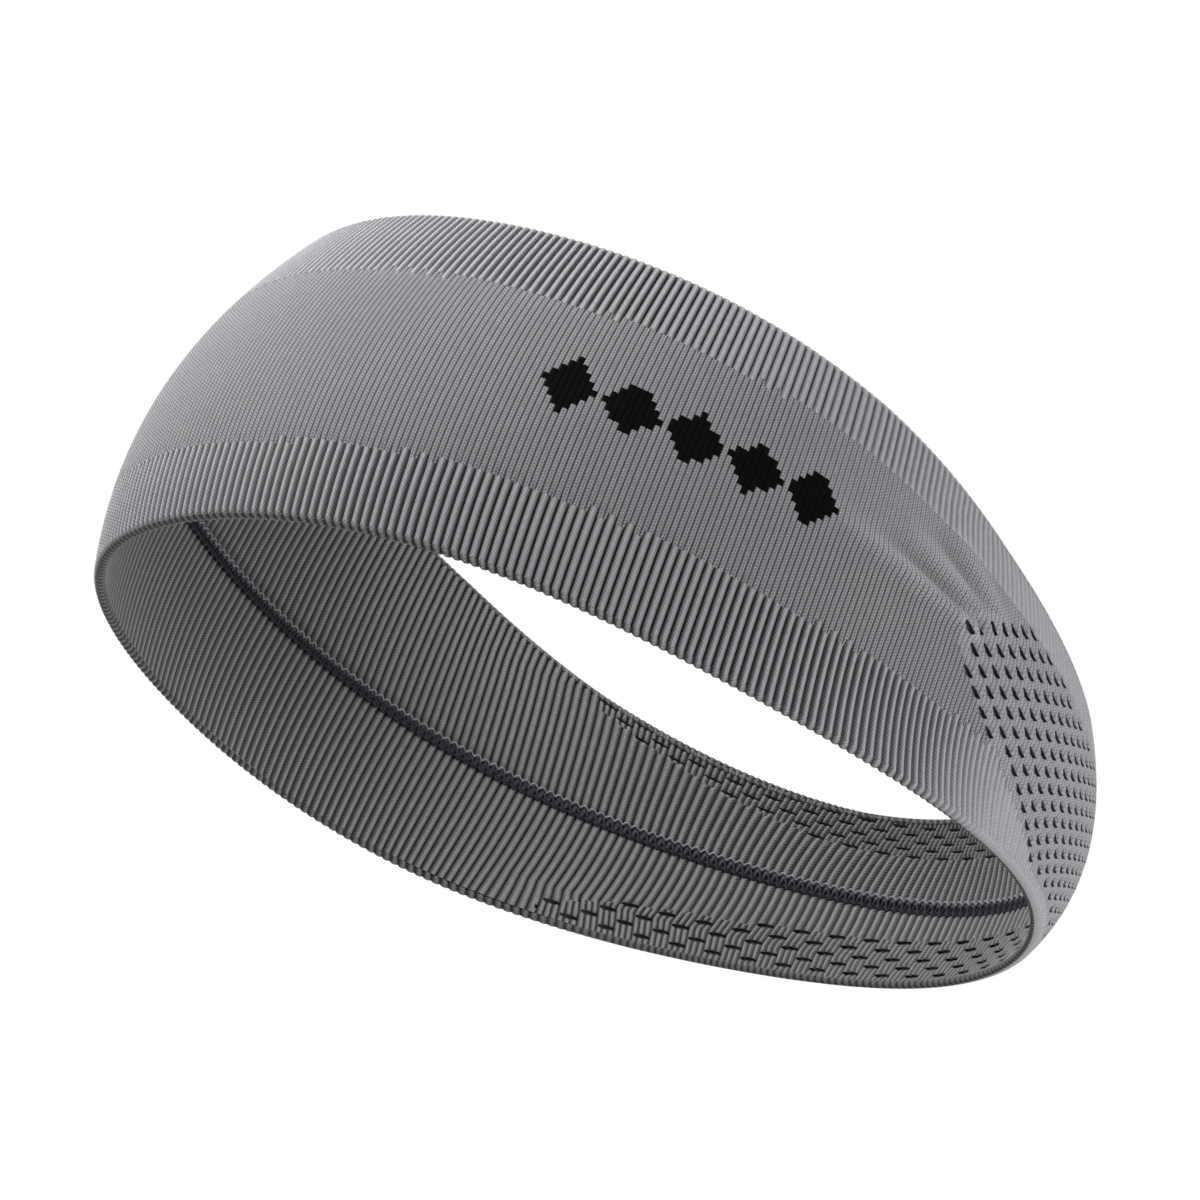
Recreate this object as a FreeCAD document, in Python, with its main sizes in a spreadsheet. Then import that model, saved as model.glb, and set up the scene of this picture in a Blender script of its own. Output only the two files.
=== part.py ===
"""Sports headband: a double layer of knitted fabric, closed into a loop and seamed on its inner side.

Frame: millimetres, +Z up as worn, the forehead at -Y, the wearer's left at +X. The origin is the
middle of the head opening, level with the lower rim. The band is the same on both sides of x = 0,
apart from the knitted motif, which is only on the wearer's left.

The loop is cut from lofted blanks, one inside the other: each blank is lofted through ovals whose
half width, front depth and back depth follow upright bows. Slabs that run straight through the band
from side to side then cut the blanks into the knitted zones, the folds and the seam threads.
"""

import FreeCAD, Part
import math
import os

doc = FreeCAD.newDocument("Headband")

# ---------------------------------------------------------------- driving sizes
SIZES = (
    # The outer face: its largest half width and depths, the level of each, and the bow's radius
    ("half_width", 80.5, "largest half width of the outer face"),
    ("side_level", 33.0, "height of the largest half width"),
    ("side_bow", 147.0, "upright bow radius of the sides"),
    ("front_depth", 99.2, "largest depth forwards of the outer face"),
    ("front_level", 19.0, "height of the largest forward depth"),
    ("front_bow", 82.0, "upright bow radius of the forehead side"),
    ("back_depth", 99.0, "largest depth backwards of the outer face"),
    ("back_level", 18.6, "height of the largest backward depth"),
    ("back_bow", 28.7, "upright bow radius of the back"),
    ("crown_setback", 10.0, "above the back rim an oval's back stays this much less than its front"),
    ("blank_margin", 4.0, "how far a blank runs past the rims, up and down"),
    # Fabric
    ("outer_layer", 1.1, "thickness of the outer layer"),
    ("inner_layer", 1.1, "thickness of the inner layer"),
    ("layer_gap", 0.1, "clearance between the two layers"),
    # Upper rim in the side view, heights at five stations from front to back
    ("top_front", 75.3, "upper rim at the forehead"),
    ("top_temple", 67.2, "upper rim at the temple"),
    ("top_side", 58.3, "upper rim at the side"),
    ("top_nape", 44.4, "upper rim behind the ear"),
    ("top_back", 37.5, "upper rim at the back"),
    # Lower rim, the same five stations
    ("bottom_front", 1.2, "lower rim at the forehead"),
    ("bottom_temple", -0.4, "lower rim at the temple"),
    ("bottom_side", -2.8, "lower rim at the side"),
    ("bottom_nape", -0.9, "lower rim behind the ear"),
    ("bottom_back", 1.5, "lower rim at the back"),
    ("station_depth", 98.0, "distance of the end stations in front of and behind the middle"),
    # Widths of the bands along the rims, at the front, the side and the back
    ("fold_height", 1.2, "height of the turned edge at each rim"),
    ("fold_round", 0.7, "rounding of the turned edge"),
    ("lower_rib_front", 13.5, "width of the lower rib band at the forehead"),
    ("lower_rib_side", 16.2, "width of the lower rib band at the side"),
    ("lower_rib_back", 9.0, "width of the lower rib band at the back"),
    ("upper_rib_front", 16.5, "width of the upper rib band at the forehead"),
    ("upper_rib_side", 10.8, "width of the upper rib band at the side"),
    ("upper_rib_back", 6.5, "width of the upper rib band at the back"),
    # Vented panel at the back
    ("vent_corner_y", 25.5, "upper front corner of the vented panel, backwards"),
    ("vent_corner_z", 30.7, "upper front corner of the vented panel, height"),
    ("vent_crest_y", 44.0, "where the upper edge turns level, backwards"),
    ("vent_crest_z", 37.6, "where the upper edge turns level, height"),
    ("vent_waist_y", 43.5, "middle of the hollow front edge, backwards"),
    ("vent_waist_z", 13.7, "middle of the hollow front edge, height"),
    ("vent_heel_y", 70.0, "lower end of the front edge, backwards"),
    ("vent_heel_z", 3.0, "lower end of the front edge, height"),
    ("vent_sill", 2.5, "plain strip between the vented panel and the lower rim"),
    # Seam on the inner side
    ("seam_front", 33.0, "seam above the lower rim at the forehead"),
    ("seam_side", 29.2, "seam above the lower rim at the side"),
    ("seam_back", 18.5, "seam above the lower rim at the back"),
    ("seam_butt", 0.1, "gap between the two raw edges that meet at the seam"),
    ("needle_spacing", 2.6, "distance between the two rows of needle thread"),
    ("needle_width", 0.8, "width of a row of needle thread"),
    ("needle_depth", 0.5, "how far a row of needle thread stands in from the lining"),
    ("cover_depth", 0.3, "how far the cover thread stands in from the lining"),
    ("thread_clearance", 0.1, "gap between the cover thread and each row of needle thread"),
    # Motif
    ("motif_y", -32.0, "middle of the motif, backwards"),
    ("motif_z", 34.6, "middle of the motif, height"),
    ("motif_tilt", -4.6, "tilt of the row of diamonds in the side view, degrees"),
    ("motif_depth", 0.25, "how far the motif yarn stands out from the panel"),
    ("motif_count", 5, "number of diamonds"),
    ("diamond_pitch", 11.8, "distance from one diamond to the next"),
    ("diamond_length", 11.0, "length of a diamond along the band"),
    ("diamond_height", 11.0, "height of a diamond"),
    # Slabs
    ("slab_reach", 130.0, "how far the cutting slabs run past the middle of the band"),
)

sheet = doc.addObject("Spreadsheet::Sheet", "Sizes")
for row, (alias, value, note) in enumerate(SIZES, start=1):
    sheet.set(f"A{row}", note)
    sheet.set(f"B{row}", str(value))
    sheet.setAlias(f"B{row}", alias)
doc.recompute()


def size(alias):
    """The plain number in a cell of the sheet."""
    return float(sheet.get(alias))


STATIONS = (-1.0, -0.5, 0.0, 0.5, 1.0)      # front to back, as shares of station_depth
STATION_NAMES = ("front", "temple", "side", "nape", "back")
upper_rim = [size(f"top_{name}") for name in STATION_NAMES]
lower_rim = [size(f"bottom_{name}") for name in STATION_NAMES]

# ---------------------------------------------------------------- blanks
LEVELS = 7
lowest_level = min(lower_rim) - size("blank_margin")
level_step = (max(upper_rim) + size("blank_margin") - lowest_level) / (LEVELS - 1)
QUARTER_WEIGHT = math.sqrt(0.5)
# x and y signs at the start and the end of each quarter of an oval, from the wearer's left backwards
QUARTERS = (((1, 0), (0, 1)), ((0, 1), (-1, 0)), ((-1, 0), (0, -1)), ((0, -1), (1, 0)))


def bow(largest, level, radius, height):
    """Half width or depth at a height, on a bow that is largest at its level."""
    return largest - (height - level) ** 2 / (2 * radius)


def quarter_arc(half_width, depth, start, end, height):
    """A quarter of an oval as an exact conic."""
    corner = (start[0] + end[0], start[1] + end[1])
    poles = [FreeCAD.Vector(x * half_width, y * depth, height) for x, y in (start, corner, end)]
    curve = Part.BSplineCurve()
    curve.buildFromPolesMultsKnots(poles, [3, 3], [0, 1], False, 2, [1, QUARTER_WEIGHT, 1])
    return curve.toShape()


def oval(height, inset):
    """A closed oval at a height, a given distance inside the outer face."""
    half_width = bow(size("half_width"), size("side_level"), size("side_bow"), height)
    front = bow(size("front_depth"), size("front_level"), size("front_bow"), height)
    back = bow(size("back_depth"), size("back_level"), size("back_bow"), height)
    back = max(back, front - size("crown_setback"))
    edges = []
    for start, end in QUARTERS:
        depth = back if start[1] + end[1] > 0 else front
        edges.append(quarter_arc(half_width - inset, depth - inset, start, end, height))
    return Part.Wire(edges)


def blank(name, inset):
    """A solid whose wall is a given distance inside the outer face of the band."""
    sections = []
    for level in range(LEVELS):
        section = doc.addObject("Part::Feature", f"{name}_oval_{level}")
        section.Shape = oval(lowest_level + level * level_step, inset)
        sections.append(section)
    loft = doc.addObject("Part::Loft", name)
    loft.Sections = sections
    loft.Solid = True
    return loft


def shell(name, outside, inside):
    """The wall between two blanks."""
    wall = doc.addObject("Part::Cut", name)
    wall.Base = outside
    wall.Tool = inside
    return wall


lining_outside = size("outer_layer") + size("layer_gap")
lining_inside = lining_outside + size("inner_layer")
full_thickness = lining_inside

motif_face = blank("motif_face", -size("motif_depth"))
outer_face = blank("outer_face", 0)
outer_back = blank("outer_back", size("outer_layer"))
lining_back = blank("lining_back", lining_outside)
lining_face = blank("lining_face", lining_inside)
cover_face = blank("cover_face", lining_inside + size("cover_depth"))
needle_face = blank("needle_face", lining_inside + size("needle_depth"))

motif_wall = shell("motif_wall", motif_face, outer_face)
outer_wall = shell("outer_wall", outer_face, outer_back)
lining_wall = shell("lining_wall", lining_back, lining_face)
full_wall = shell("full_wall", outer_face, lining_face)
cover_wall = shell("cover_wall", lining_face, cover_face)
needle_wall = shell("needle_wall", lining_face, needle_face)


# ---------------------------------------------------------------- curves seen from the side
def width_along(name):
    """A width at each station, on a curve through its front, side and back values."""
    front, side, back = (size(f"{name}_{place}") for place in ("front", "side", "back"))
    lean = (back - front) / 2
    bend = (back + front) / 2 - side
    return [side + lean * station + bend * station ** 2 for station in STATIONS]


def raised(heights, amount):
    """Heights moved up by one amount, or by one amount for each station."""
    amounts = amount if isinstance(amount, list) else [amount] * len(heights)
    return [height + step for height, step in zip(heights, amounts)]


def negative(values):
    return [-value for value in values]


def side_curve(heights):
    """A smooth edge through the stations, carried on level past the band at both ends."""
    depth = size("station_depth")
    reach = size("slab_reach")
    points = [FreeCAD.Vector(0, station * depth, height) for station, height in zip(STATIONS, heights)]
    curve = Part.BSplineCurve()
    curve.interpolate(points)
    start = FreeCAD.Vector(0, -reach, heights[0])
    end = FreeCAD.Vector(0, reach, heights[-1])
    return [Part.makeLine(start, points[0]), curve.toShape(), Part.makeLine(points[-1], end)]


def slab(name, profile, one_side=False):
    """A closed side-view profile run straight through the band, or only its wearer's left half."""
    outline = doc.addObject("Part::Feature", f"{name}_outline")
    outline.Shape = Part.Face(profile)
    extrusion = doc.addObject("Part::Extrusion", name)
    extrusion.Base = outline
    extrusion.DirMode = "Custom"
    extrusion.Dir = FreeCAD.Vector(1, 0, 0)
    extrusion.Solid = True
    extrusion.setExpression("LengthFwd", "Sizes.slab_reach")
    if not one_side:
        extrusion.setExpression("LengthRev", "Sizes.slab_reach")
    return extrusion


def zone(name, low, high):
    """A slab between two side-view curves."""
    below = side_curve(low)
    above = side_curve(high)
    reach = size("slab_reach")
    ends = [Part.makeLine(FreeCAD.Vector(0, side * reach, low[index]),
                          FreeCAD.Vector(0, side * reach, high[index])) for side, index in ((-1, 0), (1, -1))]
    return slab(name, Part.Wire(Part.sortEdges(below + above + ends)[0]))


fold = size("fold_height")
lower_fold_line = raised(lower_rim, fold)
upper_fold_line = raised(upper_rim, -fold)
lower_rib_line = raised(lower_rim, width_along("lower_rib"))
upper_rib_line = raised(upper_rim, negative(width_along("upper_rib")))
seam_line = raised(lower_rim, width_along("seam"))
half_butt = size("seam_butt") / 2
needle_inner = (size("needle_spacing") - size("needle_width")) / 2
needle_outer = (size("needle_spacing") + size("needle_width")) / 2
cover_edge = needle_inner - size("thread_clearance")

lower_fold_zone = zone("lower_fold_zone", lower_rim, lower_fold_line)
upper_fold_zone = zone("upper_fold_zone", upper_fold_line, upper_rim)
lower_rib_zone = zone("lower_rib_zone", lower_fold_line, lower_rib_line)
upper_rib_zone = zone("upper_rib_zone", upper_rib_line, upper_fold_line)
panel_zone = zone("panel_zone", lower_rib_line, upper_rib_line)
vent_zone = zone("vent_zone", raised(lower_rim, size("vent_sill")), upper_rib_line)
lower_lining_zone = zone("lower_lining_zone", lower_fold_line, raised(seam_line, -half_butt))
upper_lining_zone = zone("upper_lining_zone", raised(seam_line, half_butt), upper_fold_line)
upper_needle_zone = zone("upper_needle_zone",
                         raised(seam_line, needle_inner), raised(seam_line, needle_outer))
lower_needle_zone = zone("lower_needle_zone",
                         raised(seam_line, -needle_outer), raised(seam_line, -needle_inner))
cover_zone = zone("cover_zone", raised(seam_line, -cover_edge), raised(seam_line, cover_edge))


# ---------------------------------------------------------------- vented panel outline
def vent_outline():
    """The vented panel from the side: a hollow front edge and a short slope, open past the back."""
    reach = size("slab_reach")
    corner, crest, waist, heel = (FreeCAD.Vector(0, size(f"vent_{place}_y"), size(f"vent_{place}_z"))
                                  for place in ("corner", "crest", "waist", "heel"))
    crest_end = FreeCAD.Vector(0, reach, crest.z)
    below_end = FreeCAD.Vector(0, reach, -reach)
    below_heel = FreeCAD.Vector(0, heel.y, -reach)
    return Part.Wire([
        Part.makeLine(corner, crest),
        Part.makeLine(crest, crest_end),
        Part.makeLine(crest_end, below_end),
        Part.makeLine(below_end, below_heel),
        Part.makeLine(below_heel, heel),
        Part.Arc(heel, waist, corner).toShape(),
    ])


vent_slab = slab("vent_slab", vent_outline())


# ---------------------------------------------------------------- motif outline
def diamond(centre, tilt):
    """One upright diamond in the side view."""
    along = FreeCAD.Vector(0, math.cos(tilt), math.sin(tilt)) * (size("diamond_length") / 2)
    up = FreeCAD.Vector(0, 0, size("diamond_height") / 2)
    return Part.makePolygon([centre + along, centre + up, centre - along, centre - up, centre + along])


def motif_slabs():
    """One slab for each diamond of the row, on the wearer's left only."""
    tilt = math.radians(size("motif_tilt"))
    step = FreeCAD.Vector(0, math.cos(tilt), math.sin(tilt)) * size("diamond_pitch")
    middle = FreeCAD.Vector(0, size("motif_y"), size("motif_z"))
    count = int(size("motif_count"))
    slabs = []
    for index in range(count):
        centre = middle + step * (index - (count - 1) / 2)
        slabs.append(slab(f"diamond_{index}_slab", diamond(centre, tilt), one_side=True))
    return slabs


# ---------------------------------------------------------------- sub-parts
RIM_TOLERANCE = 0.05
nodes = []


def common(name, wall, cutter, keep=True):
    """The part of a wall that lies inside a slab."""
    piece = doc.addObject("Part::Common", name)
    piece.Base = wall
    piece.Tool = cutter
    if keep:
        piece.Label = name
        nodes.append(piece)
    return piece


def rim_curve(heights):
    """The rim as an edge in the side view."""
    return side_curve(heights)[1]


def runs_along(edge, rim):
    """Whether an edge of a fold lies on the rim's curve, seen from the side, and isn't a short one."""
    first, last = edge.ParameterRange
    for share in (0.1, 0.5, 0.9):
        point = edge.valueAt(first + share * (last - first))
        if Part.Vertex(0, point.y, point.z).distToShape(rim)[0] > RIM_TOLERANCE:
            return False
    return edge.Length > full_thickness * 2


def turned_edge(name, cutter, rim):
    """A fold of the fabric at a rim, rounded on both edges of its free side."""
    square_fold = common(f"{name}_square", full_wall, cutter, keep=False)
    doc.recompute()
    rounding = min(size("fold_round"), full_thickness / 3, size("fold_height") * 0.6)
    free_edges = [(index, rounding, rounding)
                  for index, edge in enumerate(square_fold.Shape.Edges, start=1) if runs_along(edge, rim)]
    piece = doc.addObject("Part::Fillet", name)
    piece.Base = square_fold
    piece.Edges = free_edges
    piece.Label = name
    nodes.append(piece)
    return piece


def cut_away(name, base, tool):
    """A piece with the vented panel taken out of it."""
    piece = doc.addObject("Part::Cut", name)
    piece.Base = base
    piece.Tool = tool
    piece.Label = name
    nodes.append(piece)
    return piece


vent_blank = common("vent_blank", outer_wall, vent_zone, keep=False)
outer_mesh_panel = common("outer_mesh_panel", vent_blank, vent_slab)
cut_away("outer_front_panel", common("panel_blank", outer_wall, panel_zone, keep=False), vent_slab)
cut_away("outer_lower_rib", common("lower_rib_blank", outer_wall, lower_rib_zone, keep=False), outer_mesh_panel)
common("outer_upper_rib", outer_wall, upper_rib_zone)
common("inner_upper_lining", lining_wall, upper_lining_zone)
common("inner_lower_lining", lining_wall, lower_lining_zone)
common("seam_upper_thread", needle_wall, upper_needle_zone)
common("seam_lower_thread", needle_wall, lower_needle_zone)
common("seam_cover_thread", cover_wall, cover_zone)
turned_edge("upper_edge_fold", upper_fold_zone, rim_curve(upper_rim))
turned_edge("lower_edge_fold", lower_fold_zone, rim_curve(lower_rim))

diamonds = [common(f"diamond_{index}", motif_wall, cutter, keep=False)
            for index, cutter in enumerate(motif_slabs())]
knitted_motif = doc.addObject("Part::Compound", "knitted_motif")
knitted_motif.Links = diamonds
knitted_motif.Label = "knitted_motif"
nodes.append(knitted_motif)

# ---------------------------------------------------------------- checks and files
doc.recompute()

for item in doc.Objects:
    if "Invalid" in item.State or "Error" in item.State:
        raise RuntimeError(f"{item.Label} failed: {item.State}")

os.makedirs("parts", exist_ok=True)
for node in nodes:
    if node.Shape.isNull() or not node.Shape.isValid():
        raise RuntimeError(f"{node.Label} has no valid shape")
    if not node.Shape.Solids:
        raise RuntimeError(f"{node.Label} has no solid")

for node in nodes:
    node.Shape.exportStep(f"parts/{node.Label}.step")
    box = node.Shape.optimalBoundingBox()
    print(f"{node.Label}: {len(node.Shape.Solids)} solid(s), {node.Shape.Volume:.0f} mm3, "
          f"x {box.XMin:.1f}..{box.XMax:.1f}, y {box.YMin:.1f}..{box.YMax:.1f}, "
          f"z {box.ZMin:.1f}..{box.ZMax:.1f}")
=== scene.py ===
"""Sports headband: knitted fabric, seam threads, finishes, stage and camera, built round the CAD frame.

Every place on the band is given by a turn round the head (0 at the forehead, growing towards the
wearer's left), a height above the lower rim and an inset from the outer face. Sizes are in metres.
"""

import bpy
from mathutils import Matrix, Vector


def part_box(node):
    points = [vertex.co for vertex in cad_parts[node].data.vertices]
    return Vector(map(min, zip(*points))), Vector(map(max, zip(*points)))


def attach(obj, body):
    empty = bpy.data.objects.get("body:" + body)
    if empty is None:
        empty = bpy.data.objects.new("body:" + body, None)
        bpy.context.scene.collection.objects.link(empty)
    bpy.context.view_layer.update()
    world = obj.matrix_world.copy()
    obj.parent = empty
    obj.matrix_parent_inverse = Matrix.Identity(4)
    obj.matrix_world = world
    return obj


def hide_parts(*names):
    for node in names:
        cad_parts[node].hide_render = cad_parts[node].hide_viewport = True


bl_info = {
    "name": "Knitted sports headband",
    "version": (1, 0, 0),
    "blender": (4, 5, 0),
    "location": "3D View > Sidebar > Headband",
    "description": "Builds a double-layer knitted headband from ribs, courses, slots and seam threads",
    "category": "Add Mesh",
}

import math

import bpy
import numpy as np
from bpy.props import FloatProperty, FloatVectorProperty, IntProperty, PointerProperty
from mathutils import Matrix, Vector

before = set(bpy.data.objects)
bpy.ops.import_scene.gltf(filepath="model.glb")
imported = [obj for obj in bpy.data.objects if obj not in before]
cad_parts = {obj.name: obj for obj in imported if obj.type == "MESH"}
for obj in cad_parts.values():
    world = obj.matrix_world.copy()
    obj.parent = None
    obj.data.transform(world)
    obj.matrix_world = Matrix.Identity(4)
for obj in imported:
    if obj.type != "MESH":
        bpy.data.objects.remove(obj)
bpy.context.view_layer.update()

MM = 0.001
BODY = "root"

# ---------------------------------------------------------------- shape of the band, read from the frame
PANEL_LOW, PANEL_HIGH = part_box("outer_front_panel")
VENT_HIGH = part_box("outer_mesh_panel")[1]
TOP_FOLD_LOW, TOP_FOLD_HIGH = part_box("upper_edge_fold")
LOW_FOLD_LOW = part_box("lower_edge_fold")[0]

FOLD_HEIGHT = 1.2 * MM  # how far the turned edge stands past the flat fabric
OUTER_LAYER = 1.1 * MM  # thickness of each layer
INNER_LAYER = 1.1 * MM
LAYER_GAP = 0.1 * MM
WALL = OUTER_LAYER + LAYER_GAP + INNER_LAYER

HALF_WIDTH = PANEL_HIGH.x
SIDE_LEVEL = 33 * MM  # height where the band is widest
SIDE_BOW = 147 * MM  # radius of the sides' upright bow
FRONT_DEPTH = -PANEL_LOW.y
FRONT_LEVEL = 19 * MM
FRONT_BOW = 82 * MM
BACK_DEPTH = VENT_HIGH.y
BACK_LEVEL = 18.6 * MM
BACK_BOW = 28.7 * MM
CROWN_SETBACK = 10 * MM  # above the back rim the back is this much shallower than the front

STATION_TURNS = np.radians((0, 45, 90, 135, 180))
UPPER_HEIGHTS = (TOP_FOLD_HIGH.z, 68.4 * MM, 58.3 * MM, 41.0 * MM, TOP_FOLD_LOW.z + FOLD_HEIGHT)
LOWER_HEIGHTS = (0.9 * MM, 1.0 * MM, LOW_FOLD_LOW.z, 0.6 * MM, 1.5 * MM)


class Rim:
    """A rim's height round the band, smooth through five stations from the forehead to the back."""

    def __init__(self, heights):
        self.orders = np.arange(len(heights))
        self.terms = np.linalg.solve(np.cos(np.outer(STATION_TURNS, self.orders)), heights)

    def at(self, turn):
        return np.cos(np.multiply.outer(turn, self.orders)) @ self.terms


UPPER_RIM = Rim(UPPER_HEIGHTS)
LOWER_RIM = Rim(LOWER_HEIGHTS)


def bow(largest, level, radius, height):
    """Half width or depth at a height, on an upright bow."""
    return largest - (height - level) ** 2 / (2 * radius)


def wall_point(turn, height, inset):
    """The point at a turn and height, a given distance inside the outer face."""
    width = bow(HALF_WIDTH, SIDE_LEVEL, SIDE_BOW, height) - inset
    front = bow(FRONT_DEPTH, FRONT_LEVEL, FRONT_BOW, height)
    back = np.maximum(bow(BACK_DEPTH, BACK_LEVEL, BACK_BOW, height), front - CROWN_SETBACK)
    depth = np.where(np.cos(turn) > 0, front, back) - inset
    x = width * np.sin(turn)
    y = -depth * np.cos(turn)
    return np.stack(np.broadcast_arrays(x, y, height), axis=-1)


GIRTH_STEPS = 3600
GIRTH_TURNS = np.linspace(0, 2 * math.pi, GIRTH_STEPS + 1)


def girth_table():
    """The distance round the middle of the band up to each turn."""
    middle = (UPPER_RIM.at(GIRTH_TURNS) + LOWER_RIM.at(GIRTH_TURNS)) / 2
    ring = wall_point(GIRTH_TURNS, middle, 0)
    steps = np.linalg.norm(np.diff(ring, axis=0), axis=1)
    return np.concatenate(([0], np.cumsum(steps)))


GIRTH_REACHED = girth_table()
GIRTH = GIRTH_REACHED[-1]


def turn_at(share):
    """The turn at a share of the girth, 0 to 1."""
    return np.interp(share * GIRTH, GIRTH_REACHED, GIRTH_TURNS)


def girth_at(turn):
    """The distance round the middle of the band up to a turn."""
    return np.interp(turn, GIRTH_TURNS, GIRTH_REACHED)


def from_forehead(turn):
    """The turn between the forehead and a place, the shorter way round."""
    return np.minimum(turn, 2 * math.pi - turn)


def between(low, high, share):
    """A number or shader value on the way from low to high."""
    return low + (high - low) * share


def band_width(turn, front, side, back):
    """A width that goes from front to side to back on one smooth curve."""
    station = -np.cos(turn)
    return side + (back - front) / 2 * station + ((back + front) / 2 - side) * station ** 2


# ---------------------------------------------------------------- what a user may change
class KnitSizes(bpy.types.PropertyGroup):
    """Gauge and relief of the knitted fabric."""

    ribs: IntProperty(name="Ribs", description="Ribs round the outer layer, a multiple of eight",
                      default=328, min=40, step=8)
    lining_ribs: IntProperty(name="Lining ribs", default=300, min=40, step=4,
                             description="Ribs round the lining, a multiple of four")
    rib_relief: FloatProperty(name="Rib relief", description="Depth of the valleys between ribs",
                              default=0.75 * MM, unit="LENGTH")
    wale_relief: FloatProperty(name="Wale relief", description="Depth of the grooves in the fine zones",
                               default=0.22 * MM, unit="LENGTH")
    lining_relief: FloatProperty(name="Lining relief", description="Depth of the lining's ribs",
                                 default=0.7 * MM, unit="LENGTH")
    slot_pinch: FloatProperty(name="Slot pinch", default=0.78, min=0, max=0.95,
                              description="How far a slot closes at its ends, as a share")
    slot_dip: FloatProperty(name="Slot dip", description="How far a vent slot's lips sink",
                            default=0.35 * MM, unit="LENGTH")
    crease_rise: FloatProperty(name="Crease rise", description="Height of the gathers beside the vents",
                               default=1.6 * MM, unit="LENGTH")


class SeamSizes(bpy.types.PropertyGroup):
    """The flat seam on the inner side."""

    front: FloatProperty(name="Height at forehead", description="Seam above the lower rim at the forehead",
                         default=33.0 * MM, unit="LENGTH")
    side: FloatProperty(name="Height at side", description="Seam above the lower rim at the side",
                        default=29.2 * MM, unit="LENGTH")
    back: FloatProperty(name="Height at back", description="Seam above the lower rim at the back",
                        default=18.5 * MM, unit="LENGTH")
    thread: FloatProperty(name="Thread radius", description="Radius of the sewing thread",
                          default=0.22 * MM, unit="LENGTH")
    row_spacing: FloatProperty(name="Row spacing", description="Distance between the rows of needle thread",
                               default=2.6 * MM, unit="LENGTH")


class MotifSizes(bpy.types.PropertyGroup):
    """The row of stepped diamonds on the wearer's left temple."""

    count: IntProperty(name="Diamonds", description="Number of diamonds", default=5, min=1)
    turn: FloatProperty(name="Turn", description="Turn of the row's middle from the forehead",
                        default=math.radians(70.5), subtype="ANGLE")
    height: FloatProperty(name="Height", description="Middle of the row above the lower rim",
                          default=36.6 * MM, unit="LENGTH")
    pitch: FloatProperty(name="Pitch", description="Distance from one diamond to the next",
                         default=12.0 * MM, unit="LENGTH")
    length: FloatProperty(name="Length", description="Length of a diamond along the band",
                          default=11.4 * MM, unit="LENGTH")
    rise: FloatProperty(name="Rise", description="Height of a diamond",
                        default=11.2 * MM, unit="LENGTH")


class YarnColours(bpy.types.PropertyGroup):
    """Yarn and thread colours."""

    outer: FloatVectorProperty(name="Outer yarn", description="Yarn of the outer layer", subtype="COLOR",
                               default=(0.420, 0.408, 0.444), min=0, max=1)
    lining: FloatVectorProperty(name="Lining yarn", description="Yarn of the inner layer", subtype="COLOR",
                                default=(0.318, 0.322, 0.334), min=0, max=1)
    # Painted shade: the yarn between the two layers, on the hidden faces and in the slots, is made dark for
    # the shade there
    core: FloatVectorProperty(name="Core", description="Shaded yarn between the two layers",
                              subtype="COLOR", default=(0.070, 0.070, 0.078), min=0, max=1)
    loops: FloatVectorProperty(name="Seam loops", description="Needle thread above the seam",
                               subtype="COLOR", default=(0.29, 0.285, 0.325), min=0, max=1)
    cover: FloatVectorProperty(name="Cover thread", description="Thread over the joint", subtype="COLOR",
                               default=(0.026, 0.024, 0.038), min=0, max=1)
    motif: FloatVectorProperty(name="Motif yarn", description="Yarn of the diamonds", subtype="COLOR",
                               default=(0.0022, 0.0022, 0.0026), min=0, max=1)


class StageSizes(bpy.types.PropertyGroup):
    """Camera and light."""

    azimuth: FloatProperty(name="Azimuth", description="Where the camera stands round the band",
                           default=math.radians(66.22), subtype="ANGLE")
    elevation: FloatProperty(name="Elevation", description="How high the camera stands",
                             default=math.radians(-22.59), subtype="ANGLE")
    roll: FloatProperty(name="Roll", description="Camera's turn about its own axis",
                        default=math.radians(19.01), subtype="ANGLE")
    distance: FloatProperty(name="Distance", description="From the camera to the point it aims at",
                            default=1.1267, unit="LENGTH")
    aim: FloatVectorProperty(name="Aim", description="Point that the camera looks at",
                             default=(-0.0040, -0.0044, 0.0356), unit="LENGTH")
    lens: FloatProperty(name="Lens", description="Focal length in millimetres", default=181.2, min=1)
    key: FloatProperty(name="Key light", description="Power of the forehead side's light",
                       default=3.2, unit="POWER")
    back: FloatProperty(name="Back light", description="Power of the light above the back",
                        default=18.5, unit="POWER")
    far: FloatProperty(name="Far light", description="Power of the light on the wearer's right",
                       default=9.0, unit="POWER")
    ambient: FloatProperty(name="Ambient", description="Brightness of the light from all round",
                           default=0.245, min=0)


# ---------------------------------------------------------------- shader arithmetic
class Value:
    """A socket that carries a number; arithmetic on it adds Math nodes."""

    def __init__(self, work, socket):
        self.work = work
        self.socket = socket

    def _math(self, operation, *numbers):
        return self.work.node("ShaderNodeMath", {"operation": operation}, *numbers)

    def __add__(self, other):
        return self._math("ADD", self, other)

    __radd__ = __add__

    def __sub__(self, other):
        return self._math("SUBTRACT", self, other)

    def __rsub__(self, other):
        return self._math("SUBTRACT", other, self)

    def __mul__(self, other):
        return self._math("MULTIPLY", self, other)

    __rmul__ = __mul__

    def __truediv__(self, other):
        return self._math("DIVIDE", self, other)

    def __rtruediv__(self, other):
        return self._math("DIVIDE", other, self)

    def __pow__(self, other):
        return self._math("POWER", self, other)

    def __mod__(self, other):
        return self._math("FLOORED_MODULO", self, other)

    def __abs__(self):
        return self._math("ABSOLUTE", self)

    def sine(self):
        return self._math("SINE", self)

    def clamped(self):
        return self.work.node("ShaderNodeClamp", {}, self)


MIX_COLOURS = 6  # a Mix node's first colour input; numbers and vectors have those before
MIX_RESULT = 2  # its colour output


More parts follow.
